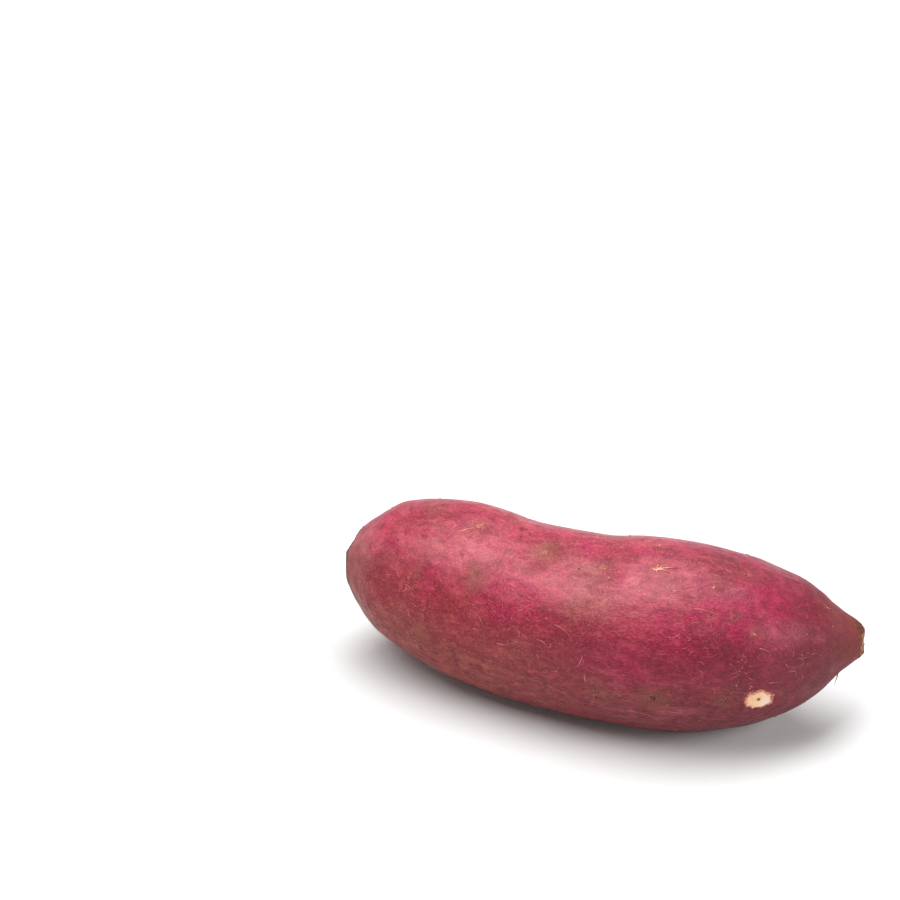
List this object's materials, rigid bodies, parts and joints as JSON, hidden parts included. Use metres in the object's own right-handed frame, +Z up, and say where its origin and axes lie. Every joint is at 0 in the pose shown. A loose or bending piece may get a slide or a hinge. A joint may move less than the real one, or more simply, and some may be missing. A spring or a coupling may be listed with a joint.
{
  "type": "sweet potato",
  "caption": "Whole raw sweet potato with smooth magenta-pink skin, a fat gently bent body and blunt snapped ends, lying on its side, for food and kitchen scenes.",
  "frame": {"origin": "middle of the bounding box's footprint, at the height of the flat spot that the root rests on", "axes": "+X along the root towards its tapered tip, +Z up, -Y towards the bulging side of the bend, so the crown end lies at -X"},
  "size_m": [0.1706, 0.072, 0.0593],
  "materials": {
    "skin": "satin"
  },
  "bodies": {
    "root": {"sweet_potato": "skin"}
  },
  "joints": []
}
